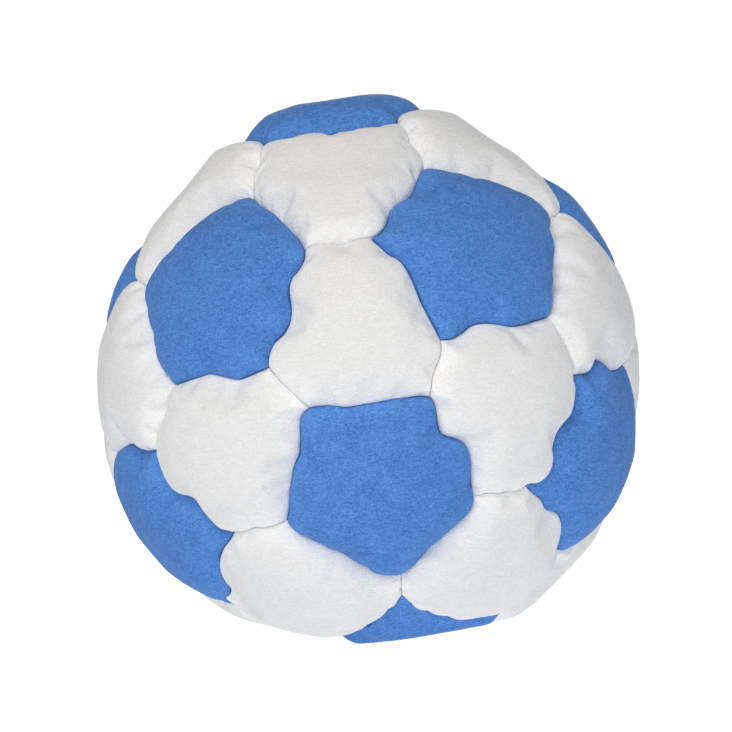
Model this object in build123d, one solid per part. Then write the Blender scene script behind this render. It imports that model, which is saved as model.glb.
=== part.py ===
from build123d import *
from math import atan, cos, degrees, radians, sin, sqrt
import os

# A juggling ball: twelve pentagons and twenty hexagons of suede cloth, sewn round a fill of plastic pellets.
#
# Each panel is cut with a seam allowance. The ball is sewn inside out and then turned, so the allowances end up
# inside, face to face, with a running stitch through each pair, and every panel bulges between its seams like a small
# cushion. The ball rests on its base pentagon, which its own weight presses flat.
#
# +Z runs through the top pentagon, the origin is the middle of the flat patch below the base pentagon, and a pentagon
# of the lower ring faces -Y. Lengths are millimetres and angles are degrees.

# Driving dimensions
BALL_DIAMETER = 57.0         # over the crowns of two opposite panels
REST_PATCH_DIAMETER = 12.0   # the flat patch that the ball rests on
CLOTH = 0.8                  # thickness of the suede cloth
SEAM_CORNER_SHARE = 0.394    # where a seam corner lies between two pentagons' middles; 1/3 makes all seams equal
DOME_RADIUS = 24.0           # a panel bulges on a smaller sphere than the ball's own
SEAM_ROUNDING = 2.2          # the cloth rolls over into its seam on this radius
ALLOWANCE_REACH = 22.8       # the turned-in allowances end this far from the ball's middle
STITCH_REACH = 24.4          # the stitches lie this far from the ball's middle, at the middle of a seam
STITCH_LENGTH = 2.6
LONG_SEAM_STITCHES = 3       # on a seam between a pentagon and a hexagon
SHORT_SEAM_STITCHES = 1      # on a seam between two hexagons
THREAD_DIAMETER = 0.35
THREAD_TAIL = 0.9            # loose end past the last stitch of a short seam
KNOT_TURNS = 2
KNOT_GAP = 0.6               # between the ends of a thread that its knot joins
NEEDLE_CLEARANCE = 0.02      # round the thread where it passes through the cloth
FILL_CLEARANCE = 0.05        # between the fill and the cloth
FILL_SLOT = 1.45             # from a seam to the fill beside it, past the allowance and its thread
FILL_ROUNDING = 1.2

# Sizes that follow from them
DOME_OFFSET = BALL_DIAMETER / 2 - DOME_RADIUS
REST_HEIGHT = DOME_OFFSET + sqrt(DOME_RADIUS**2 - (REST_PATCH_DIAMETER / 2) ** 2)
THREAD_RADIUS = THREAD_DIAMETER / 2
THREAD_OFFSET = CLOTH + THREAD_RADIUS + NEEDLE_CLEARANCE
NEEDLE_HOLE_RADIUS = THREAD_RADIUS + NEEDLE_CLEARANCE
KNOT_TURN_RADIUS = 1.9 * THREAD_RADIUS
KNOT_TURN_PITCH = 1.02 * THREAD_DIAMETER
KNOT_RADIUS = KNOT_TURN_RADIUS + THREAD_RADIUS
KNOT_OFFSET = CLOTH + KNOT_RADIUS + NEEDLE_CLEARANCE
KNOT_POCKET_RADIUS = KNOT_RADIUS + 2 * FILL_CLEARANCE
RING_ANGLE = degrees(atan(2))  # between neighbouring pentagons' middles, seen from the ball's middle
FIFTH = 72                   # the turn from one pentagon of a ring to the next


def direction(polar, azimuth):
    """The unit vector at an angle from +Z, turned by the azimuth from +X."""
    across = sin(radians(polar))
    return Vector(across * cos(radians(azimuth)), across * sin(radians(azimuth)), cos(radians(polar)))


# Where the pentagons point, ring by ring, seen from the ball's middle
TOP = direction(0, 0)
UPPER = [direction(RING_ANGLE, -54 + FIFTH * i) for i in range(5)]
LOWER = [direction(180 - RING_ANGLE, -90 + FIFTH * i) for i in range(5)]
BASE = direction(180, 0)


def following(ring, i, steps=1):
    """The member of a ring that lies so many steps after number i."""
    return ring[(i + steps) % len(ring)]


def pentagon_layout():
    """Each pentagon's place in its ring, its direction and one neighbour."""
    layout = {"top": (TOP, UPPER[0]), "base": (BASE, LOWER[0])}
    for i in range(5):
        layout[f"upper_{i + 1}"] = (UPPER[i], TOP)
        layout[f"lower_{i + 1}"] = (LOWER[i], BASE)
    return layout


def hexagon_layout():
    """Each hexagon's place and the three pentagons that it lies between, anticlockwise from outside."""
    layout = {}
    for i in range(5):
        layout[f"crown_{i + 1}"] = (TOP, UPPER[i], following(UPPER, i))
        layout[f"upper_belt_{i + 1}"] = (UPPER[i], following(LOWER, i), following(UPPER, i))
        layout[f"lower_belt_{i + 1}"] = (UPPER[i], LOWER[i], following(LOWER, i))
        layout[f"foot_{i + 1}"] = (BASE, following(LOWER, i), LOWER[i])
    return layout


def short_seam_layout():
    """The seams between two hexagons, ring by ring, each as the two pentagons whose corners it joins."""
    ring = range(5)
    return {
        "crown": [(TOP, UPPER[i]) for i in ring],
        "upper": [(UPPER[i], following(UPPER, i)) for i in ring],
        "belt": [(UPPER[i], following(LOWER, i, step)) for i in ring for step in (0, 1)],
        "lower": [(LOWER[i], following(LOWER, i)) for i in ring],
        "foot": [(BASE, LOWER[i]) for i in ring],
    }


def seam_corner(near, far):
    """The corner of the pentagon at near that points at the pentagon at far."""
    return (near * (1 - SEAM_CORNER_SHARE) + far * SEAM_CORNER_SHARE).normalized()


def hexagon_axis(pentagons):
    """The direction of the hexagon between three pentagons."""
    return sum(pentagons, Vector()).normalized()


def panel_frame(axis, toward):
    """Axes at the ball's middle with Z along axis and X turned to the side of toward."""
    return Plane(origin=(0, 0, 0), x_dir=toward - axis * toward.dot(axis), z_dir=axis)


def pentagon_corners():
    """A pentagon's seam corners, anticlockwise about +Z, with one of them over +X."""
    frame = panel_frame(TOP, UPPER[0])
    return [frame.to_local_coords(seam_corner(TOP, neighbour)) for neighbour in UPPER]


def hexagon_corners():
    """A hexagon's seam corners, anticlockwise about +Z, from the seam over +X that it shares with a pentagon."""
    pentagons = (TOP, UPPER[0], UPPER[1])
    frame = panel_frame(hexagon_axis(pentagons), pentagons[0])
    corners = []
    for i, here in enumerate(pentagons):
        for neighbour in (following(pentagons, i, 2), following(pentagons, i)):
            corners.append(frame.to_local_coords(seam_corner(here, neighbour)))
    return corners


def sides(corners):
    """Each seam of a panel as its two corners."""
    return [(corner, following(corners, i)) for i, corner in enumerate(corners)]


class Seam:
    """A straight line of stitches between two seam corners, inside the ball."""

    def __init__(self, start, end):
        self.middle = (start + end).normalized() * STITCH_REACH
        self.along = (end - start).normalized()
        self.inward = start.cross(end).normalized()

    def point(self, distance, offset):
        """The point so far along the seam from its middle, and so far into the panel from its plane."""
        return self.middle + self.along * distance + self.inward * offset


def stitch_stations(stitches):
    """How far from the seam's middle the thread passes through the cloth."""
    return [STITCH_LENGTH * (i - stitches / 2) for i in range(stitches + 1)]


def smooth_ball(radius, height=0):
    """A sphere whose poles lie on the X axis and whose own edge faces -Z, so a panel along +Z has neither."""
    return Pos(0, 0, height) * Rot(0, 90, 0) * Sphere(radius)


def dome(corners, top_inset, side_inset, rounding, flat_top):
    """The solid between the ball's middle and a panel's crown, cut by its seams and rounded along them."""
    solid = smooth_ball(DOME_RADIUS - top_inset, DOME_OFFSET)
    for start, end in sides(corners):
        inward = start.cross(end).normalized()
        solid = split(solid, bisect_by=Plane(origin=inward * side_inset, z_dir=inward), keep=Keep.TOP)
    solid = fillet(solid.edges().filter_by(GeomType.CIRCLE), rounding)
    if flat_top:
        solid = split(solid, bisect_by=Plane.XY.offset(REST_HEIGHT - top_inset), keep=Keep.BOTTOM)
    return solid


def needle_holes(corners, stitches_by_side):
    """The thread's way through a panel's turned-in allowances."""
    holes = []
    for (start, end), stitches in zip(sides(corners), stitches_by_side):
        seam = Seam(start, end)
        for station in stitch_stations(stitches):
            across = Plane(origin=seam.point(station, 0), z_dir=seam.inward)
            holes.append(across * Cylinder(NEEDLE_HOLE_RADIUS, 3 * CLOTH))
    return holes


def panel(corners, stitches_by_side, flat_top=False):
    """A domed panel of cloth with its seam allowances turned in, pointing along +Z from the ball's middle."""
    outside = dome(corners, 0, 0, SEAM_ROUNDING, flat_top) - smooth_ball(ALLOWANCE_REACH)
    inside = dome(corners, CLOTH, CLOTH, SEAM_ROUNDING - CLOTH, flat_top)
    return outside - inside - needle_holes(corners, stitches_by_side)


def swept_thread(points):
    """A thread along straight runs, pulled tight round the cloth so that it turns sharply."""
    route = Polyline(*points)
    section = Plane(origin=route @ 0, z_dir=route % 0) * Circle(THREAD_RADIUS)
    return sweep(section, path=route, transition=Transition.RIGHT)


def running_stitch(seam, stitches):
    """Points of a thread that passes to and fro through one seam, starting and ending inside its panel."""
    points = []
    side = THREAD_OFFSET
    for station in stitch_stations(stitches):
        points += [seam.point(station, side), seam.point(station, -side)]
        side = -side
    return points


def knot(seam):
    """Turns of thread round a joint at the middle of a seam, clear of the cloth inside its panel."""
    joint = Plane(origin=seam.point(0, KNOT_OFFSET), z_dir=seam.along)
    solid = joint * Cylinder(THREAD_RADIUS, KNOT_GAP)
    for turn in range(KNOT_TURNS):
        station = KNOT_TURN_PITCH * (turn - (KNOT_TURNS - 1) / 2)
        solid += joint.offset(station) * Torus(KNOT_TURN_RADIUS, THREAD_RADIUS)
    return solid


def turning_distance(seam, corner):
    """How far along a pentagon's seam the thread inside the panel turns at a corner."""
    across = corner.cross(Vector(0, 0, 1))
    return -seam.point(0, THREAD_OFFSET).dot(across) / seam.along.dot(across)


def pentagon_thread():
    """The thread round a pentagon's five seams, whose ends are knotted at the middle of the first."""
    corners = pentagon_corners()
    seams = [Seam(start, end) for start, end in sides(corners)]
    opened = running_stitch(seams[0], LONG_SEAM_STITCHES)
    half = len(opened) // 2
    opened[half - 1] = seams[0].point(-STITCH_LENGTH / 2, KNOT_OFFSET)
    opened[half] = seams[0].point(STITCH_LENGTH / 2, KNOT_OFFSET)
    points = [seams[0].point(KNOT_GAP / 2, KNOT_OFFSET)] + opened[half:]
    for seam, corner in zip(seams[1:], corners[1:]):
        points.append(seam.point(turning_distance(seam, corner), THREAD_OFFSET))
        points += running_stitch(seam, LONG_SEAM_STITCHES)
    points.append(seams[0].point(turning_distance(seams[0], corners[0]), THREAD_OFFSET))
    points += opened[:half] + [seams[0].point(-KNOT_GAP / 2, KNOT_OFFSET)]
    return swept_thread(points) + knot(seams[0])


def short_thread(near, far):
    """The thread of the seam between two hexagons that runs from one pentagon's corner to another's."""
    seam = Seam(seam_corner(near, far), seam_corner(far, near))
    tail = SHORT_SEAM_STITCHES * STITCH_LENGTH / 2 + THREAD_TAIL
    ends = [seam.point(-tail, THREAD_OFFSET), seam.point(tail, THREAD_OFFSET)]
    return swept_thread([ends[0]] + running_stitch(seam, SHORT_SEAM_STITCHES) + [ends[1]])


def fill_lobe(corners, flat_top=False):
    """The pellets under one panel, between the seam allowances, pointing along +Z from the ball's middle."""
    return dome(corners, CLOTH + FILL_CLEARANCE, FILL_SLOT, FILL_ROUNDING, flat_top)


def knot_pocket():
    """The room in the pellets for a pentagon's knot and the stitch that it is tied on."""
    seam = Seam(*sides(pentagon_corners())[0])
    stitch = Plane(origin=seam.point(0, KNOT_OFFSET), z_dir=seam.along)
    return stitch * Cylinder(KNOT_POCKET_RADIUS, STITCH_LENGTH + 2 * KNOT_POCKET_RADIUS)


def ball_nodes():
    """Every node of the ball by name, round the ball's middle."""
    pentagon_stitches = [LONG_SEAM_STITCHES] * 5
    hexagon_stitches = [LONG_SEAM_STITCHES, SHORT_SEAM_STITCHES] * 3
    round_pentagon = panel(pentagon_corners(), pentagon_stitches)
    flat_pentagon = panel(pentagon_corners(), pentagon_stitches, flat_top=True)
    hexagon = panel(hexagon_corners(), hexagon_stitches)
    thread = pentagon_thread()
    round_lobe = fill_lobe(pentagon_corners())
    flat_lobe = fill_lobe(pentagon_corners(), flat_top=True)
    hexagon_lobe = fill_lobe(hexagon_corners())

    nodes = {}
    lobes = []
    pockets = []
    for place, (axis, neighbour) in pentagon_layout().items():
        frame = panel_frame(axis, neighbour)
        flat = place == "base"
        nodes[f"pentagon_panel_{place}"] = frame * (flat_pentagon if flat else round_pentagon)
        nodes[f"seam_thread_{place}"] = frame * thread
        lobes.append(frame * (flat_lobe if flat else round_lobe))
        pockets.append(frame * knot_pocket())
    for place, pentagons in hexagon_layout().items():
        frame = panel_frame(hexagon_axis(pentagons), pentagons[0])
        nodes[f"hexagon_panel_{place}"] = frame * hexagon
        lobes.append(frame * hexagon_lobe)
    for place, seams in short_seam_layout().items():
        nodes[f"seam_thread_short_{place}"] = Compound([short_thread(near, far).solid() for near, far in seams])
    nodes["pellet_fill"] = Sphere(ALLOWANCE_REACH - FILL_CLEARANCE) + lobes - pockets
    return nodes


def main():
    """Write each node round the ball's middle, which stands over the origin."""
    os.makedirs("parts", exist_ok=True)
    for name, shape in ball_nodes().items():
        placed = Pos(0, 0, REST_HEIGHT) * shape
        placed.label = name
        export_step(placed, f"parts/{name}.step")


main()
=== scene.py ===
import math

import bpy
import numpy as np
from mathutils import Matrix, Vector


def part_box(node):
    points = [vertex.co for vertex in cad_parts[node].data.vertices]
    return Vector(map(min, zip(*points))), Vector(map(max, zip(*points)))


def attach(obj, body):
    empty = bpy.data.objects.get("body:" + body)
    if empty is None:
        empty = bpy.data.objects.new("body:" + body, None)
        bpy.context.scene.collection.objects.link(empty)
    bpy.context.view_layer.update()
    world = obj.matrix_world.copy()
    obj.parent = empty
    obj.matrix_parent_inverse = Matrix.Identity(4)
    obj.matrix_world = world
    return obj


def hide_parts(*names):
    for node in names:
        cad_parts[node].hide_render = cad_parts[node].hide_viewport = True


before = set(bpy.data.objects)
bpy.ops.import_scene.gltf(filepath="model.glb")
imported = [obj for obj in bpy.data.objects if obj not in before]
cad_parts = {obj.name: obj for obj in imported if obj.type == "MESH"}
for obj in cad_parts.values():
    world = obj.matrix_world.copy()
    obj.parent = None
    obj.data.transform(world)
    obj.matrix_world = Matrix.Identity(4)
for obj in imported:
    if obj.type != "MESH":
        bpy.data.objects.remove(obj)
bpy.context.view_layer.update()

# The looks of a sewn juggling ball: thirty-two panels of suede cloth round a lump of pellets.
#
# Each panel is one closed mesh: its domed face, the seam allowance that turns in all round it, and the back
# of both. The faces of all the panels are swollen together by one cloth simulation, held along their seams,
# so they bulge and pucker as stuffed cloth does. Lengths here are millimetres, and places are measured from
# the ball's middle, until a mesh is made.

MM = 0.001


def middle_of(node):
    """The middle of a CAD node's box, in metres."""
    low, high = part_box(node)
    return (low + high) / 2


BALL_MIDDLE = np.array((middle_of("pentagon_panel_lower_1") + middle_of("pentagon_panel_upper_3")) / 2)

# From the ball's middle to a panel's crown, and to the floor
CROWN_REACH = (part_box("pentagon_panel_top")[1].z - BALL_MIDDLE[2]) / MM
FLOOR_DEPTH = BALL_MIDDLE[2] / MM

# How the panels are cut and sewn
SEAM_REACH = 26.8            # from the ball's middle to the line where two panels meet
SEAM_CORNER_SHARE = 0.394    # where a seam corner lies between two pentagons' middles
CLOTH = 0.8                  # thickness of the suede
SEAM_GAP = 0.01              # from each panel to the middle of its seam
STRAIGHT_REACH = 24.7        # below this the turned-in edges are straight, for the stitches
ALLOWANCE_REACH = 22.8       # the turned-in edges end this far from the ball's middle
TURN_WIDTH = 2.6             # how far from a seam the back of the cloth follows its turned-in edge
THREAD_ROOM = 1.45           # from a seam to the pellets beside it, past the turned-in edge and its thread
FILL_CLEARANCE = 0.35        # between the pellets and the cloth
FILL_EDGE = 4.0              # from a seam, the width over which the pellets keep further from the cloth
FILL_SEAM_REACH = 22.6       # from the ball's middle to the pellets below a seam

# How far the ball has sagged outward, in millimetres, at even steps down from the top to the base
SETTLING = (-0.4, 0.4, -1.3, -0.8, -0.7, -0.3, 0.2, 0.5, 0.3, 0.2)
FLATTENING = 0.4             # the cloth leaves the floor in a curve that starts this high

# Where it bulges or is dented besides: the angle from +Z, the azimuth and the width in degrees, and how far
LUMPS = (
    (105, 180, 15, 0.6),
    (104, 0, 12, -0.7),
    (84, 0, 14, 0.4),
    (144, 0, 11, -0.6),
    (157, 180, 16, -1.6),
    (167, 0, 15, 1.2),
    (32, 180, 22, -0.5),
    (31, 180, 9, -0.8),
    (33, 0, 10, -0.4),
    (27, -90, 12, -0.5),
)

# How far the other seams wander aside, as a spread, and how deep their stitches tuck them in
LONG_SEAM_WAVE = 0.55
SHORT_SEAM_WAVE = 0.12
TUCK_DEPTH = 0.3
SHORT_SEAM_RISE = 0.45       # how much shallower a seam between two hexagons is
CREASE_ENDS = {("base", "lower_2"), ("lower_2", "base")}  # one such seam is a deep crease instead
CREASE_DEPTH = 0.8

# How the cloth turns in at its seam
FOLD_DEPTH = 0.12            # from the seam to the first ring below it, as a share of the cloth's thickness
TURN_PLACE = 0.3             # the next ring's share of the way sideways from the seam to the straight edge
TURN_REACH = 0.35            # and its share of the way inward
LEAST_TURN = 1.5             # from a seam inward to its straight edge, in thicknesses of cloth, or more
BACK_FALLOFF = 1.5           # above 1, the back of the cloth is moved sideways only close to the seam

# Painted light: the nap's colour is made lighter beside the seams, standing in for light caught there: by how
# much, between which distances from the seam
EDGE_PAINTED_LIGHT = 0.15
EDGE_PAINTED_LIGHT_START = 0.2
EDGE_PAINTED_LIGHT_END = 3.0

# The suedes' colours: deep in the nap, on its tips, and a painted seam colour: on blue a darker line, painted
# shade for the crease, and on white a lighter, bluish edge, painted light that offsets the crease's shade and
# stands in for light bounced off the blue
SUEDES = {
    "blue_suede": {
        "deep": (0.033, 0.122, 0.375),
        "light": (0.114, 0.29, 0.69),
        "painted_seam_light_and_shade": (0.045, 0.13, 0.38),
    },
    "white_suede": {
        "deep": (0.66, 0.66, 0.66),
        "light": (0.78, 0.78, 0.78),
        "painted_seam_light_and_shade": (0.86, 0.88, 0.92),
    },
}

# The dome that each panel starts as
DOME_RADIUS = 24.0
DOME_OFFSET = CROWN_REACH - DOME_RADIUS  # from the ball's middle to the dome's
ROLL_WIDTH = 2.6             # how far from its seam a panel rises to its dome
SLACK = 0.3                  # how far below its dome a panel starts

# The mesh of a panel
HALF_SIDE = 14               # cells along half a seam, and from a seam to a panel's middle
GRADING = 1.25               # above 1, the cells are smaller near the seams
LONG_SEAM_LOBES = 4          # how many lobes the other long seams have

# The cloth simulation runs on an enlarged copy
SIM_SCALE = 30 * MM
SIM_FRAMES = 24
PRESSURE = 5.0
GATHER = 0.065               # how much larger the cloth is than the space it is gathered into
SEED = 32

# The photographer's view and the light
CAMERA_AZIMUTH = 2.0
CAMERA_ELEVATION = 1.0
BALL_LEAN = 9.0              # how far the ball's axis leans to the left
CAMERA_DISTANCE = 1.2
BALL_SHARE = 0.743           # of the picture's width, for the ball's diameter
CAMERA_SHIFT = (-0.0041, 0.0109)
ROOM_COLOUR = (0.95, 0.97, 1.0)
ROOM_LIGHT = 0.37
BACKGROUND = 1.07            # how bright the empty room looks
FLOOR_GLOW = 0.99            # the floor is a light table, so the ball is lit from below too
FLOOR_GREY = 0.15
FLOOR_WIDTH = 6.0
LIGHT_COLOUR = (1.0, 0.96, 0.91)

# Each soft light's strength, width and height, and place
LIGHTS = {
    "front_light": (9.9, (0.5, 1.2), (-0.14, -1.0, 0.72)),
    "back_light": (5.0, (0.4, 0.4), (0.1, 1.0, 0.15)),
}


def unit(vector):
    """A vector, or each of several, at length 1."""
    return vector / np.linalg.norm(vector, axis=-1, keepdims=True)


def direction(polar, azimuth):
    """The unit vector at an angle from +Z, turned by the azimuth from +X, in degrees."""
    polar, azimuth = math.radians(polar), math.radians(azimuth)
    across = math.sin(polar)
    return np.array([across * math.cos(azimuth), across * math.sin(azimuth), math.cos(polar)])


# Between neighbouring pentagons' middles, seen from the ball's middle
RING_ANGLE = math.degrees(math.atan(2))

PENTAGONS = {"top": direction(0, 0), "base": direction(180, 0)}
for ring_place in range(5):
    PENTAGONS[f"upper_{ring_place + 1}"] = direction(RING_ANGLE, -54 + 72 * ring_place)
    PENTAGONS[f"lower_{ring_place + 1}"] = direction(180 - RING_ANGLE, -90 + 72 * ring_place)

# The three pentagons round each hexagon, anticlockwise from outside
HEXAGONS = {}
for ring_place in range(5):
    here, ahead = ring_place + 1, (ring_place + 1) % 5 + 1
    HEXAGONS[f"crown_{here}"] = ("top", f"upper_{here}", f"upper_{ahead}")
    HEXAGONS[f"upper_belt_{here}"] = (f"upper_{here}", f"lower_{ahead}", f"upper_{ahead}")
    HEXAGONS[f"lower_belt_{here}"] = (f"upper_{here}", f"lower_{here}", f"lower_{ahead}")
    HEXAGONS[f"foot_{here}"] = ("base", f"lower_{ahead}", f"lower_{here}")

# How far hand sewing has moved a seam's corner from its even place: east, north and out, in millimetres. A
# corner is named by its pentagon and the pentagon that it points at.
CORNER_SHIFTS = {
    ("upper_5", "top"): (1.1, 0.3, 0.0),
    ("upper_5", "upper_1"): (-0.4, 0.5, 0.0),
    ("upper_5", "lower_1"): (0.7, -0.2, 0.0),
    ("upper_5", "lower_5"): (1.4, -0.6, 0.0),
    ("upper_5", "upper_4"): (-0.7, -1.3, 0.0),
    ("upper_1", "upper_5"): (-0.2, 0.6, 0.0),
    ("upper_1", "top"): (0.1, 0.5, 0.0),
    ("upper_1", "upper_2"): (3.0, -0.4, 0.0),
    ("upper_1", "lower_2"): (-0.5, 0.3, 0.0),
    ("upper_1", "lower_1"): (-1.2, -0.2, 0.0),
    ("lower_1", "upper_5"): (0.8, 0.9, 0.0),
    ("lower_1", "upper_1"): (0.3, 0.1, 0.0),
    ("lower_1", "lower_2"): (-1.5, 0.5, 0.0),
    ("lower_1", "base"): (0.7, 1.2, 0.0),
    ("lower_1", "lower_5"): (1.0, 1.1, 0.0),
    ("lower_2", "upper_1"): (-2.0, -0.2, 0.0),
    ("lower_2", "upper_2"): (0.0, -0.3, 0.2),
    ("lower_2", "lower_1"): (-2.4, 0.6, 0.0),
    ("lower_2", "base"): (1.2, 0.0, 0.2),
    ("lower_5", "upper_4"): (0.0, -1.0, 0.6),
    ("lower_5", "upper_5"): (0.4, -1.2, 0.0),
    ("lower_5", "lower_1"): (1.3, 0.7, 0.0),
    ("lower_5", "base"): (-1.5, 0.0, 1.2),
    ("top", "upper_5"): (-0.6, 0.9, 0.0),
    ("top", "upper_1"): (1.4, 0.9, 0.0),
    ("base", "lower_1"): (0.3, 4.3, -0.2),
    ("base", "lower_2"): (-1.2, -1.0, 1.0),
    ("base", "lower_5"): (0.7, -2.4, 0.3),
    ("upper_4", "upper_5"): (0.0, -0.2, 0.0),
    ("upper_2", "upper_1"): (0.0, -0.5, 0.0),
}

# How far each long seam wanders out from its pentagon, in millimetres, at even steps from the corner that
# points at the second name to the corner that points at the third
SEAM_WAVES = {
    ("upper_5", "upper_4", "lower_5"): (0.2, 0.3, 0.4, 0.5, 0.4, 0.5, 0.7, 0.7, 0.4),
    ("upper_5", "top", "upper_1"): (0.0, 0.1, 0.3, 0.4, 0.4, 0.4, 0.4, 0.4, 0.2),
    ("upper_5", "top", "upper_4"): (0.8, 1.4, 1.7, 1.6, 1.3, 1.1, 0.7, 0.4, 0.1),
    ("upper_5", "upper_1", "lower_1"): (0.3, 0.0, -0.3, 0.0, 0.7, 1.0, 0.8, 0.0, -0.2),
    ("upper_5", "lower_1", "lower_5"): (0.3, 0.6, 0.8, 0.4, 0.0, -0.4, -0.3, -0.2, -0.1),
    ("upper_1", "upper_5", "top"): (-0.5, -0.5, -0.1, 0.0, -0.3, -0.7, -0.6, -0.3, -0.1),
    ("upper_1", "upper_5", "lower_1"): (-0.2, -0.5, -1.0, -1.0, -0.8, -0.5, -0.3, -0.2, -0.1),
    ("upper_1", "lower_2", "lower_1"): (0.1, 0.2, 0.3, 0.2, -0.3, -0.7, -0.8, -0.3, 0.1),
    ("upper_1", "top", "upper_2"): (0.0, 0.0, 0.1, 0.3, 0.5, 0.6, 0.5, 0.4, 0.3),
    ("upper_1", "upper_2", "lower_2"): (-0.2, -0.4, -0.5, -0.4, -0.2, -0.1, 0.1, 0.2, 0.2),
    ("lower_1", "upper_5", "upper_1"): (0.1, 0.1, -0.2, -0.1, 0.0, 0.1, 0.2, 0.2, 0.2),
    ("lower_1", "upper_1", "lower_2"): (0.1, 0.0, -0.3, -0.5, -0.5, 0.4, 1.2, 1.4, 1.3, 1.0, 0.7, 0.4, 0.2),
    ("lower_1", "lower_2", "base"): (0.5, 0.6, 0.4, 0.3, 0.3, 0.2, 0.1, 0.1, 0.0),
    ("lower_1", "base", "lower_5"): (0.6, 1.0, 0.8, 0.6, 0.4, 0.4, 0.5, 0.5, 0.4),
    ("lower_1", "lower_5", "upper_5"): (0.0, 0.2, 0.3, 0.3, 0.3, 0.0, 0.2, 0.5, 0.7),
    ("lower_2", "upper_1", "lower_1"): (-0.7, -1.0, -1.3, -0.9, -0.6, -0.6, -1.3, -1.6, -1.2),
    ("lower_2", "lower_1", "base"): (-0.2, -0.5, -0.3, -1.1, -1.1, -0.7, -0.2, 0.2, 0.2),
    ("lower_2", "upper_1", "upper_2"): (0.0, 0.1, 1.3, 1.1, 0.4, -0.1, -0.2, 0.1, 0.3),
    ("lower_5", "upper_4", "upper_5"): (0.2, 0.4, 0.6, 0.8, 1.0, 0.6, 0.2, 0.0, 0.0),
    ("lower_5", "upper_5", "lower_1"): (-0.9, -1.5, -1.7, -1.4, -0.8, -0.5, -0.6, -0.8, -0.8),
    ("lower_5", "lower_1", "base"): (-0.3, -0.8, -1.1, -1.2, -0.8, 0.2, 0.1, -0.6, -0.5),
    ("top", "upper_5", "upper_1"): (0.3, 0.7, 1.0, 1.2, 1.5, 1.7, 1.6, 1.3, 0.7),
    ("base", "lower_5", "lower_1"): (-0.8, -1.0, -1.0, -0.9, -0.8, -0.6, -0.5, -0.3, -0.2),
    ("base", "lower_1", "lower_2"): (-0.4, -0.8, -1.0, -1.2, -1.2, -1.2, -1.0, -0.8, -0.4),
}


def neighbours(pentagon):
    """The five pentagons nearest to one, anticlockwise from outside."""
    axis = PENTAGONS[pentagon]
    cosine = math.cos(math.radians(RING_ANGLE))
    near = [name for name, other in PENTAGONS.items() if math.isclose(other @ axis, cosine, abs_tol=0.01)]
    first = PENTAGONS[near[0]] - axis * (PENTAGONS[near[0]] @ axis)
    second = np.cross(axis, first)
    return sorted(near, key=lambda name: math.atan2(PENTAGONS[name] @ second, PENTAGONS[name] @ first))


def even_corner(corner):
    """The direction of a seam corner's even place."""
    near, far = (PENTAGONS[name] for name in corner)
    return unit(near * (1 - SEAM_CORNER_SHARE) + far * SEAM_CORNER_SHARE)


def corner_point(corner):
    """Where a seam corner lies, from the ball's middle."""
    out = even_corner(corner)
    east = unit(np.cross((0, 0, 1), out))
    shift = CORNER_SHIFTS.get(corner, (0, 0, 0))
    return out * (SEAM_REACH + shift[2]) + east * shift[0] + np.cross(out, east) * shift[1]


def panel_corners():
    """Every panel's name with its corners, anticlockwise from outside."""
    corners = {}
    for name in PENTAGONS:
        corners[f"pentagon_panel_{name}"] = [(name, neighbour) for neighbour in neighbours(name)]
    for name, (a, b, c) in HEXAGONS.items():
        corners[f"hexagon_panel_{name}"] = [(a, c), (a, b), (b, a), (b, c), (c, b), (c, a)]
    return corners


def smooth_through(values, shares):
    """A smooth curve through evenly spaced values, at shares of its length from 0 to 1."""
    values = np.array(values, float)
    padded = np.concatenate([[2 * values[0] - values[1]], values, [2 * values[-1] - values[-2]]])
    place = np.asarray(shares) * (len(values) - 1)
    left = np.minimum(place.astype(int), len(values) - 2)
    t = place - left
    a, b, c, d = (padded[left + k] for k in range(4))
    return 0.5 * (2 * b + (c - a) * t + (2 * a - 5 * b + 4 * c - d) * t**2 + (3 * b - a - 3 * c + d) * t**3)


def distance_to(points, line):
    """How far each point is from the nearest of a line's points, and which that is."""
    gaps = np.linalg.norm(points[:, None] - line[None], axis=2)
    return gaps.min(axis=1), gaps.argmin(axis=1)


def graded_steps():
    """The shares along half a seam, and in from a seam to a panel's middle, closer together at the start."""
    return np.linspace(0, 1, HALF_SIDE + 1) ** GRADING


class Seams:
    """The line of every seam, the same for both of its panels."""

    def __init__(self):
        self.random = np.random.default_rng(SEED)
        self.lines = {}

    def wave(self, start, end):
        """How far a seam wanders to the left of the way from start to end, at even steps."""
        if start[0] != end[0]:
            return np.concatenate([[0], self.random.normal(0, SHORT_SEAM_WAVE, 3), [0]])
        for (pentagon, first, last), values in SEAM_WAVES.items():
            if (pentagon, first) == start and (pentagon, last) == end:
                return np.concatenate([[0], -np.array(values), [0]])
            if (pentagon, last) == start and (pentagon, first) == end:
                return np.concatenate([[0], -np.array(values)[::-1], [0]])
        return np.concatenate([[0], self.random.normal(0, LONG_SEAM_WAVE, LONG_SEAM_LOBES), [0]])

    def line(self, start, end):
        """The points of the seam from one corner to the next, from the ball's middle."""
        if (end, start) in self.lines:
            return self.lines[(end, start)][::-1]
        if (start, end) not in self.lines:
            half = graded_steps() / 2
            along = np.concatenate([half, 1 - half[-2::-1]])
            a, b = corner_point(start), corner_point(end)
            share = along[:, None]
            reach = np.linalg.norm(a) * (1 - share) + np.linalg.norm(b) * share
            chord = unit(a) * (1 - share) + unit(b) * share
            left = unit(np.cross(a, b))
            aside = smooth_through(self.wave(start, end), along)[:, None]
            tucks = self.random.uniform(-TUCK_DEPTH, TUCK_DEPTH, 4)
            if {start, end} == CREASE_ENDS:
                tucks = tucks + CREASE_DEPTH
            elif start[0] != end[0]:
                tucks = tucks - SHORT_SEAM_RISE
            dip = smooth_through(np.concatenate([[0], tucks, [0]]), along)[:, None]
            self.lines[(start, end)] = unit(unit(chord) * reach + left * aside) * (reach - dip)
        return self.lines[(start, end)]


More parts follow.
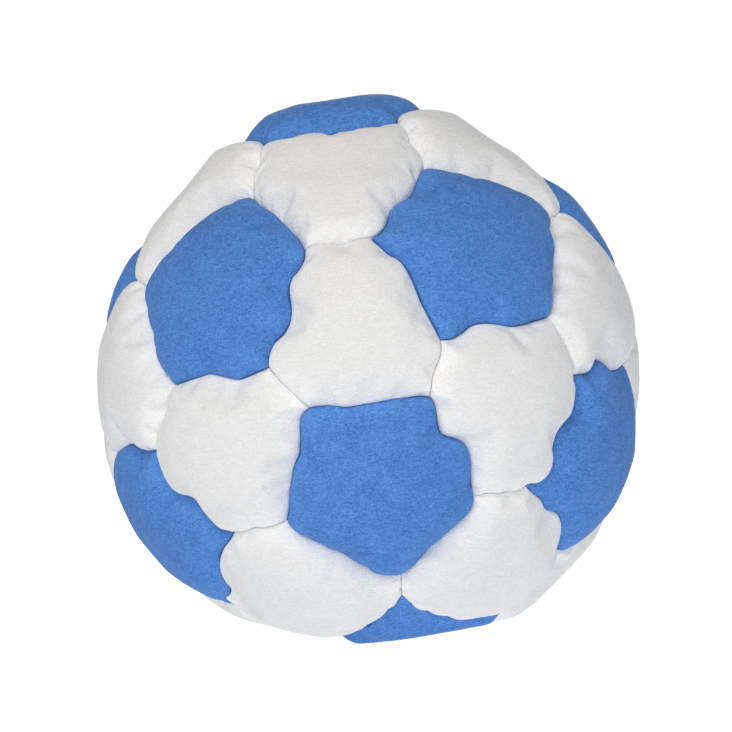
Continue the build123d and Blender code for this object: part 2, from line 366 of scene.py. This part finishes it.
class Panel:
    """One panel's grid of points, from the middle of its face out to its seams.

    Each corner has a square patch of cells between two seams' middles and the panel's own middle.
    """

    def __init__(self, name, corners, seams):
        self.name = name
        self.corners = [unit(even_corner(corner)) for corner in corners]
        self.sides = [seams.line(corner, corners[(i + 1) % len(corners)]) for i, corner in enumerate(corners)]
        self.count = len(corners)
        self.axis = unit(sum(unit(side[0]) for side in self.sides))
        self.number = {}
        self.points = self.lay_out()

    def index(self, patch, i, j):
        """The number of a patch's point, counted along its two seams. Patches share their inner edges."""
        patch %= self.count
        if i == j == HALF_SIDE:
            key = "middle"
        elif i == HALF_SIDE:
            key = ("spoke", patch, j)
        elif j == HALF_SIDE:
            key = ("spoke", (patch - 1) % self.count, i)
        else:
            key = (patch, i, j)
        if key not in self.number:
            self.number[key] = len(self.number)
        return self.number[key]

    def lay_out(self):
        """The points of the face, flat between its seams at first and then raised to a low dome."""
        places = {}
        middle = self.axis * SEAM_REACH
        steps = graded_steps()
        share = steps[:, None]
        for patch in range(self.count):
            ahead = self.sides[patch][:HALF_SIDE + 1]
            behind = self.sides[patch - 1][::-1][:HALF_SIDE + 1]
            spoke_ahead = ahead[-1] + (middle - ahead[-1]) * share
            spoke_behind = behind[-1] + (middle - behind[-1]) * share
            for i, u in enumerate(steps):
                for j, v in enumerate(steps):
                    point = (1 - v) * ahead[i] + v * spoke_behind[i]
                    point = point + (1 - u) * behind[j] + u * spoke_ahead[j]
                    point = point - (1 - u) * (1 - v) * ahead[0] - u * (1 - v) * ahead[-1]
                    point = point - (1 - u) * v * behind[-1] - u * v * middle
                    places[self.index(patch, i, j)] = point
        points = np.array([places[k] for k in range(len(places))])
        from_seam, nearest = distance_to(points, points[self.rim()])
        rise = np.sqrt(1 - (1 - np.clip(from_seam / ROLL_WIDTH, 0, 1)) ** 2)[:, None]
        seam_reach = np.linalg.norm(points[self.rim()][nearest], axis=1)[:, None]
        along_axis = (unit(points) @ self.axis)[:, None]
        dome = DOME_OFFSET * along_axis + np.sqrt(DOME_RADIUS**2 - DOME_OFFSET**2 * (1 - along_axis**2))
        return unit(points) * (seam_reach * (1 - rise) + (dome - SLACK) * rise)

    def faces(self):
        """The cells of the face, anticlockwise from outside."""
        cells = []
        for patch in range(self.count):
            for i in range(HALF_SIDE):
                for j in range(HALF_SIDE):
                    ring = ((i, j), (i + 1, j), (i + 1, j + 1), (i, j + 1))
                    cells.append([self.index(patch, *place) for place in ring])
        return cells

    def rim(self):
        """The numbers of the points along the seams, anticlockwise from outside, side by side."""
        order = []
        for patch in range(self.count):
            order += [self.index(patch, i, 0) for i in range(HALF_SIDE + 1)]
            order += [self.index(patch + 1, 0, j) for j in range(HALF_SIDE - 1, 0, -1)]
        return order

    def rim_shares(self):
        """How far along its side each of a side's rim points is, from 0 to 1."""
        half = graded_steps() / 2
        return np.concatenate([half, 1 - half[-2:0:-1]])[:, None]

    def even_rim(self):
        """The directions of the rim's points, were the seams straight between their corners' even places."""
        share = self.rim_shares()
        ends = zip(self.corners, self.corners[1:] + self.corners[:1])
        return np.concatenate([unit(start * (1 - share) + end * share) for start, end in ends])

    def side_normals(self):
        """For each side, the way into the panel from the plane of its even seam."""
        ends = zip(self.corners, self.corners[1:] + self.corners[:1])
        return [unit(np.cross(start, end)) for start, end in ends]

    def inward(self):
        """At each rim point, the way into the panel, mitred so that each whole side moves in by 1."""
        normals = self.side_normals()
        mitres = []
        for before, after in zip(normals[-1:] + normals, normals):
            mean = (before + after) / 2
            mitres.append(mean / (mean @ mean))
        share = self.rim_shares()
        ends = zip(mitres, mitres[1:] + mitres[:1])
        return np.concatenate([start * (1 - share) + end * share for start, end in ends])


def swell(panels):
    """Swells the faces of all the panels by one cloth simulation, held along their seams."""
    points, cells, held, first = [], [], [], 0
    for panel in panels:
        points.append(panel.points * SIM_SCALE)
        cells += [[first + k for k in cell] for cell in panel.faces()]
        held += [first + k for k in panel.rim()]
        first += len(panel.points)
    mesh = bpy.data.meshes.new("swelling")
    mesh.from_pydata(np.concatenate(points), [], cells)
    skin = bpy.data.objects.new("swelling", mesh)
    bpy.context.scene.collection.objects.link(skin)
    skin.vertex_groups.new(name="seams").add(held, 1.0, "REPLACE")
    cloth = skin.modifiers.new("cloth", "CLOTH")
    settings = cloth.settings
    settings.quality = 6
    settings.mass = 0.3
    settings.tension_stiffness = settings.compression_stiffness = 12
    settings.shear_stiffness = 6
    settings.bending_stiffness = 1.5
    settings.tension_damping = settings.compression_damping = settings.shear_damping = 8
    settings.air_damping = 4
    settings.shrink_min = -GATHER
    settings.use_pressure = True
    settings.uniform_pressure_force = PRESSURE
    settings.vertex_group_mass = "seams"
    settings.effector_weights.gravity = 0
    cloth.collision_settings.use_collision = False
    cloth.point_cache.frame_start = 1
    cloth.point_cache.frame_end = SIM_FRAMES
    scene = bpy.context.scene
    for step in range(1, SIM_FRAMES + 1):
        scene.frame_set(step)
    swollen = skin.evaluated_get(bpy.context.evaluated_depsgraph_get()).data
    result = np.empty(len(swollen.vertices) * 3, np.float32)
    swollen.vertices.foreach_get("co", result)
    result = result.reshape(-1, 3).astype(float) / SIM_SCALE
    scene.frame_set(1)
    bpy.data.objects.remove(skin)
    bpy.data.meshes.remove(mesh)
    first = 0
    for panel in panels:
        panel.points = result[first:first + len(panel.points)]
        first += len(panel.points)


def keep_between_seams(panel):
    """Moves what has swollen over a seam back to its own side, where its neighbour presses against it."""
    free = np.ones(len(panel.points), bool)
    free[panel.rim()] = False
    for side in panel.sides:
        inward = unit(np.cross(side[0], side[-1]))
        middle = unit(unit(side[0]) + unit(side[-1]))
        along = np.cross(inward, middle)
        side_place = np.arctan2(side @ along, side @ middle)
        side_across = np.arcsin(unit(side) @ inward)
        order = np.argsort(side_place)
        place = np.arctan2(panel.points @ along, panel.points @ middle)[:, None]
        across = np.arcsin(unit(panel.points) @ inward)[:, None]
        limit = np.interp(place, side_place[order], side_across[order])
        over = free & (across < limit)[:, 0]
        ahead = middle * np.cos(place) + along * np.sin(place)
        reach = np.linalg.norm(panel.points, axis=1)[:, None]
        moved = (ahead * np.cos(limit) + inward * np.sin(limit)) * reach
        panel.points[over] = moved[over]


def settle(points):
    """Points moved out or in as the ball has sagged on its fill, with the part on the floor pressed flat."""
    out = unit(points)
    sag = smooth_through(SETTLING, np.arccos(np.clip(out[:, 2], -1, 1)) / math.pi)
    for polar, azimuth, width, height in LUMPS:
        angle = np.degrees(np.arccos(np.clip(out @ direction(polar, azimuth), -1, 1)))
        sag += height * np.exp(-(angle / width) ** 2)
    points = points + out * sag[:, None]
    height = points[:, 2] + FLOOR_DEPTH
    curve = np.maximum(height + FLATTENING, 0) ** 2 / (4 * FLATTENING)
    points[:, 2] = np.where(height < FLATTENING, curve, height) - FLOOR_DEPTH
    return points


def bands(loops):
    """The cells between each closed loop of points and the next."""
    cells = []
    for upper, lower in zip(loops, loops[1:]):
        for i in range(len(upper)):
            j = (i + 1) % len(upper)
            cells.append([upper[i], lower[i], lower[j], upper[j]])
    return cells


class ClosedPanel:
    """A panel's whole cloth: its face, its turned-in edge and the back of both."""

    def __init__(self, panel):
        rim = panel.rim()
        inward = panel.inward()
        even = panel.even_rim()
        self.face = settle(panel.points)
        self.face[rim] += inward * SEAM_GAP
        seam = self.face[rim]
        seam_reach = np.linalg.norm(seam, axis=1)[:, None]
        straight_reach = np.minimum(STRAIGHT_REACH, seam_reach - LEAST_TURN * CLOTH)

        fold = unit(seam) * (seam_reach - FOLD_DEPTH * CLOTH)
        straight = even * straight_reach + inward * SEAM_GAP
        turn = unit(seam * (1 - TURN_PLACE) + straight * TURN_PLACE)
        turn = turn * (seam_reach * (1 - TURN_REACH) + straight_reach * TURN_REACH)
        edge = even * ALLOWANCE_REACH + inward * SEAM_GAP

        self.from_seam, nearest = distance_to(self.face, seam)
        sideways = np.clip(1 - self.from_seam / TURN_WIDTH, 0, 1) ** BACK_FALLOFF
        self.back = self.face - unit(self.face) * CLOTH + inward[nearest] * (CLOTH * sideways)[:, None]
        self.nearest = nearest
        self.inward = inward
        outer_rings = [fold, turn, straight, edge]
        back_rings = [edge + inward * CLOTH, straight + inward * CLOTH]

        around = len(rim)
        self.points = np.concatenate([self.face, *outer_rings, *back_rings, self.back])
        loops = [rim]
        for k in range(len(outer_rings) + len(back_rings)):
            first = len(self.face) + k * around
            loops.append(list(range(first, first + around)))
        back_start = len(self.points) - len(self.back)
        loops.append([back_start + k for k in rim])
        self.cells = panel.faces()
        self.cells += [[back_start + k for k in cell[::-1]] for cell in panel.faces()]
        self.cells += bands(loops)
        self.seam_distance = np.zeros(len(self.points))
        self.seam_distance[:len(self.face)] = self.from_seam
        self.seam_distance[back_start:] = self.from_seam


def even_ring(panel, reach, inset):
    """A ring along the seams' even places, so far from the ball's middle and so far into the panel."""
    return panel.even_rim() * reach + panel.inward() * inset


def fill_part(panel, closed, first):
    """The pellets' surface under one panel: its points and its cells, numbered from first.

    It lies below the cloth's back, goes down beside the turned-in edge and its thread, and ends below them at
    the seams, where the parts under two panels meet.
    """
    rim = panel.rim()
    near = np.clip(1 - closed.from_seam / FILL_EDGE, 0, 1)[:, None]
    lobe = closed.back - unit(closed.back) * FILL_CLEARANCE * (1 + near)
    lobe = lobe + closed.inward[closed.nearest] * (THREAD_ROOM - CLOTH) * near
    for normal in panel.side_normals():
        short = np.maximum(THREAD_ROOM - lobe @ normal, 0)
        lobe = lobe + normal * short[:, None]
    beside = even_ring(panel, STRAIGHT_REACH - CLOTH, THREAD_ROOM)
    under = even_ring(panel, FILL_SEAM_REACH, THREAD_ROOM)
    seam = even_ring(panel, FILL_SEAM_REACH, 0)
    around = len(rim)
    loops = [rim]
    for k in range(3):
        loops.append(list(range(len(lobe) + k * around, len(lobe) + (k + 1) * around)))
    cells = panel.faces() + bands(loops)
    return np.concatenate([lobe, beside, under, seam]), [[first + k for k in cell] for cell in cells]


def make_piece(name, points, cells, material):
    """A mesh object in the row frame."""
    mesh = bpy.data.meshes.new(name)
    mesh.from_pydata(points * MM + BALL_MIDDLE, [], cells)
    mesh.shade_smooth()
    mesh.materials.append(material)
    piece = bpy.data.objects.new(name, mesh)
    bpy.context.scene.collection.objects.link(piece)
    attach(piece, "root")
    return piece


def merge_same(points, cells):
    """The points without repeats, and the cells on them."""
    kept, where = np.unique(np.round(points, 5), axis=0, return_inverse=True)
    where = where.ravel()
    return kept, [[int(where[k]) for k in cell] for cell in cells]


def smooth_once(piece):
    """One level of subdivision over a piece."""
    smooth = piece.modifiers.new("smooth", "SUBSURF")
    smooth.levels = smooth.render_levels = 1


def cut_size(panel):
    """The flat size and area that a panel was cut to: its seams' outline with the allowance all round."""
    allowance = SEAM_REACH - ALLOWANCE_REACH
    first = unit(panel.corners[0] - panel.axis * (panel.corners[0] @ panel.axis))
    second = np.cross(panel.axis, first)
    outline = np.array([(corner @ first, corner @ second) for corner in panel.corners]) * SEAM_REACH
    apothem = np.linalg.norm(outline + np.roll(outline, 1, axis=0), axis=1).mean() / 2
    outline *= 1 + allowance / apothem
    width, length = outline.max(axis=0) - outline.min(axis=0)
    across, ahead = outline.T
    area = abs(across @ np.roll(ahead, 1) - ahead @ np.roll(across, 1)) / 2
    return (width * MM, length * MM), area * MM**2


def build_ball(suedes, pellets):
    """The panels, swollen together and made into closed pieces, and the lump of pellets under them."""
    seams = Seams()
    panels = [Panel(name, corners, seams) for name, corners in panel_corners().items()]
    swell(panels)
    fill_points, fill_cells, count = [], [], 0
    for panel in panels:
        keep_between_seams(panel)
        closed = ClosedPanel(panel)
        name = panel.name.replace("panel", "cloth")
        slot = "blue_suede" if name.startswith("pentagon") else "white_suede"
        piece = make_piece(name, closed.points, closed.cells, suedes[slot])
        distance = piece.data.attributes.new("seam_distance", "FLOAT", "POINT")
        distance.data.foreach_set("value", closed.seam_distance.astype(np.float32))
        smooth_once(piece)
        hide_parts(panel.name)
        flat, area = cut_size(panel)
        points, cells = fill_part(panel, closed, count)
        fill_points.append(points)
        fill_cells += cells
        count += len(points)
    points, cells = merge_same(np.concatenate(fill_points), fill_cells)
    lump = make_piece("pellet_lump", points, cells, pellets)
    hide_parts("pellet_fill")


def new_material(name):
    """A new material and its Principled shader."""
    material = bpy.data.materials.new(name)
    material.use_nodes = True
    return material, material.node_tree.nodes["Principled BSDF"]


class Nodes:
    """Adds shader nodes to a material and joins them up."""

    def __init__(self, material):
        self.tree = material.node_tree
        place = self.add("ShaderNodeTexCoord").outputs["Object"]
        self.millimetres = self.vector("SCALE", place, scale=1 / MM)

    def add(self, kind, **settings):
        """A node with its settings."""
        node = self.tree.nodes.new(kind)
        for key, value in settings.items():
            setattr(node, key, value)
        return node

    def join(self, source, target):
        """Feeds one socket from another, or sets it."""
        if isinstance(source, bpy.types.NodeSocket):
            self.tree.links.new(source, target)
        else:
            target.default_value = source

    def vector(self, operation, value, other=None, scale=None):
        """The result of a vector sum."""
        node = self.add("ShaderNodeVectorMath", operation=operation)
        self.join(value, node.inputs[0])
        if other is not None:
            self.join(other, node.inputs[1])
        if scale is not None:
            self.join(scale, node.inputs["Scale"])
        return node.outputs[0]

    def math(self, operation, value, other):
        """The result of a sum."""
        node = self.add("ShaderNodeMath", operation=operation)
        self.join(value, node.inputs[0])
        self.join(other, node.inputs[1])
        return node.outputs[0]

    def noise(self, size, detail=2.0, stretch=(1, 1, 1)):
        """Noise from 0 to 1 with features of a size in millimetres."""
        node = self.add("ShaderNodeTexNoise")
        self.join(self.vector("MULTIPLY", self.millimetres, stretch), node.inputs["Vector"])
        node.inputs["Scale"].default_value = 1 / size
        node.inputs["Detail"].default_value = detail
        return node.outputs["Fac"]

    def mottle(self, size, detail, stretch=(1, 1, 1), low=0.0, high=1.0):
        """Noise with its middle part stretched, so that it reaches from low to high."""
        return self.spread(self.noise(size, detail, stretch), low, high, 0.3, 0.7)

    def spread(self, value, low, high, start=0.0, end=1.0):
        """A value mapped from the range start to end onto low to high, and kept there."""
        node = self.add("ShaderNodeMapRange")
        self.join(value, node.inputs["Value"])
        node.inputs["From Min"].default_value = start
        node.inputs["From Max"].default_value = end
        node.inputs["To Min"].default_value = low
        node.inputs["To Max"].default_value = high
        return node.outputs["Result"]

    def mix(self, share, first, second):
        """A colour between two others."""
        node = self.add("ShaderNodeMix", data_type="RGBA")
        self.join(share, node.inputs[0])
        self.join(first, node.inputs[6])
        self.join(second, node.inputs[7])
        return node.outputs[2]

    def bump(self, height, distance):
        """A surface normal from heights, where 1 stands for a distance in millimetres."""
        node = self.add("ShaderNodeBump")
        self.join(height, node.inputs["Height"])
        node.inputs["Distance"].default_value = distance * MM
        return node.outputs["Normal"]


def suede(name, deep, light, painted_seam_light_and_shade):
    """Brushed microfibre suede: a mottled colour, a fine nap in tufts, painted light beside the seams, and
    painted shade and light in the seams.
    """
    material, shader = new_material(name)
    nodes = Nodes(material)
    clouds = nodes.mottle(size=2.4, detail=2)
    tufts = nodes.mottle(size=0.36, detail=1, stretch=(0.55, 0.55, 1.6))
    grain = nodes.mottle(size=0.13, detail=0, stretch=(0.8, 0.8, 1.2))
    nap = nodes.math("ADD", nodes.math("MULTIPLY", tufts, 0.4), nodes.math("MULTIPLY", grain, 0.6))
    shade = nodes.math("ADD", nodes.math("MULTIPLY", clouds, 0.15), nodes.math("MULTIPLY", nap, 0.85))
    colour = nodes.mix(shade, (*deep, 1), (*light, 1))
    from_seam = nodes.add("ShaderNodeAttribute", attribute_name="seam_distance").outputs["Fac"]
    # Painted light: the colour is scaled lighter towards the seams
    painted_edge_light = nodes.spread(from_seam, 1 + EDGE_PAINTED_LIGHT, 1.0, EDGE_PAINTED_LIGHT_START, EDGE_PAINTED_LIGHT_END)
    colour = nodes.vector("SCALE", colour, scale=painted_edge_light)
    # Painted light and shade along the seam line, in a band of uneven width: the darker line on blue and the
    # lighter bluish edge on white
    uneven = nodes.math("ADD", from_seam, nodes.mottle(size=5.0, detail=1, low=-0.25, high=0.25))
    colour = nodes.mix(nodes.spread(uneven, 1.0, 0.0, -0.05, 0.15), colour, (*painted_seam_light_and_shade, 1))
    nodes.join(colour, shader.inputs["Base Color"])
    nodes.join(nodes.spread(nap, 0.82, 1.0), shader.inputs["Roughness"])
    lumps = nodes.bump(nodes.noise(size=2.2, detail=1), distance=0.1)
    fibres = nodes.bump(nap, distance=0.05)
    nodes.tree.links.new(lumps, fibres.node.inputs["Normal"])
    nodes.join(fibres, shader.inputs["Normal"])
    shader.inputs["Specular IOR Level"].default_value = 0.2
    shader.inputs["Sheen Weight"].default_value = 0.03
    shader.inputs["Sheen Roughness"].default_value = 0.4
    return material


def thread():
    """Bonded sewing thread: fine plies that wind round it."""
    material, shader = new_material("seam_thread")
    nodes = Nodes(material)
    plies = nodes.add("ShaderNodeTexWave", wave_type="BANDS", bands_direction="DIAGONAL")
    nodes.join(nodes.millimetres, plies.inputs["Vector"])
    plies.inputs["Scale"].default_value = 1.6
    plies.inputs["Distortion"].default_value = 1.5
    wound = plies.outputs["Fac"]
    nodes.join(nodes.mix(wound, (0.5, 0.5, 0.48, 1), (0.78, 0.78, 0.76, 1)), shader.inputs["Base Color"])
    nodes.join(nodes.spread(nodes.noise(size=0.2), 0.45, 0.7), shader.inputs["Roughness"])
    nodes.join(nodes.bump(wound, distance=0.04), shader.inputs["Normal"])
    shader.inputs["Sheen Weight"].default_value = 0.2
    return material


def pellet_plastic():
    """Plastic pellets in bulk: rounded grains of slightly different milky shades."""
    material, shader = new_material("pellets")
    nodes = Nodes(material)
    grains = nodes.add("ShaderNodeTexVoronoi")
    nodes.join(nodes.millimetres, grains.inputs["Vector"])
    grains.inputs["Scale"].default_value = 0.4
    shade = nodes.add("ShaderNodeSeparateColor")
    nodes.join(grains.outputs["Color"], shade.inputs["Color"])
    colour = nodes.mix(shade.outputs["Red"], (0.62, 0.65, 0.66, 1), (0.85, 0.86, 0.85, 1))
    nodes.join(colour, shader.inputs["Base Color"])
    nodes.join(nodes.spread(nodes.noise(size=0.6), 0.25, 0.45), shader.inputs["Roughness"])
    crowns = nodes.spread(grains.outputs["Distance"], 1.0, 0.0, 0.0, 0.8)
    nodes.join(nodes.bump(crowns, distance=0.8), shader.inputs["Normal"])
    return material


def make_camera():
    """The camera, far off and level with the ball, tipped so that the ball leans to the left."""
    azimuth, elevation = math.radians(CAMERA_AZIMUTH), math.radians(CAMERA_ELEVATION)
    across = math.cos(elevation)
    back = Vector((math.sin(azimuth) * across, -math.cos(azimuth) * across, math.sin(elevation)))
    data = bpy.data.cameras.new("camera")
    data.lens = data.sensor_width * BALL_SHARE * CAMERA_DISTANCE / (2 * CROWN_REACH * MM)
    data.shift_x, data.shift_y = CAMERA_SHIFT
    camera = bpy.data.objects.new("camera", data)
    turn = back.to_track_quat("Z", "Y").to_matrix() @ Matrix.Rotation(-math.radians(BALL_LEAN), 3, "Z")
    camera.matrix_world = Matrix.Translation(Vector(BALL_MIDDLE) + back * CAMERA_DISTANCE) @ turn.to_4x4()
    bpy.context.scene.collection.objects.link(camera)
    bpy.context.scene.camera = camera


def make_studio():
    """An even white room, a soft light in front and another behind, and a pale floor."""
    world = bpy.data.worlds.new("studio")
    world.use_nodes = True
    sky = world.node_tree.nodes["Background"]
    sky.inputs["Color"].default_value = (*ROOM_COLOUR, 1)
    seen = world.node_tree.nodes.new("ShaderNodeLightPath").outputs["Is Camera Ray"]
    strength = world.node_tree.nodes.new("ShaderNodeMapRange")
    strength.inputs["To Min"].default_value = ROOM_LIGHT
    strength.inputs["To Max"].default_value = BACKGROUND
    world.node_tree.links.new(seen, strength.inputs["Value"])
    world.node_tree.links.new(strength.outputs["Result"], sky.inputs["Strength"])
    bpy.context.scene.world = world
    bpy.context.scene.view_settings.view_transform = "Standard"

    for name, (energy, size, place) in LIGHTS.items():
        light = bpy.data.lights.new(name, "AREA")
        light.energy = energy
        light.color = LIGHT_COLOUR
        light.shape = "RECTANGLE"
        light.size, light.size_y = size
        lamp = bpy.data.objects.new(name, light)
        aim = (Vector(place) - Vector(BALL_MIDDLE)).to_track_quat("Z", "Y").to_matrix().to_4x4()
        lamp.matrix_world = Matrix.Translation(place) @ aim
        bpy.context.scene.collection.objects.link(lamp)

    paper, shader = new_material("floor_paper")
    shader.inputs["Base Color"].default_value = (FLOOR_GREY, FLOOR_GREY, FLOOR_GREY, 1)
    shader.inputs["Roughness"].default_value = 0.9
    shader.inputs["Emission Color"].default_value = (*ROOM_COLOUR, 1)
    shader.inputs["Emission Strength"].default_value = FLOOR_GLOW
    half = FLOOR_WIDTH / 2
    corners = [(-half, -half, 0), (half, -half, 0), (half, half, 0), (-half, half, 0)]
    mesh = bpy.data.meshes.new("floor")
    mesh.from_pydata(corners, [], [(0, 1, 2, 3)])
    mesh.materials.append(paper)
    floor = bpy.data.objects.new("floor", mesh)
    bpy.context.scene.collection.objects.link(floor)


def main():
    """Makes the ball's looks, the camera and the studio."""
    suedes = {name: suede(name, **colours) for name, colours in SUEDES.items()}
    build_ball(suedes, pellet_plastic())
    sewing = thread()
    for name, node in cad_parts.items():
        if name.startswith("seam_thread"):
            node.material_slots[0].material = sewing
    make_camera()
    make_studio()


main()
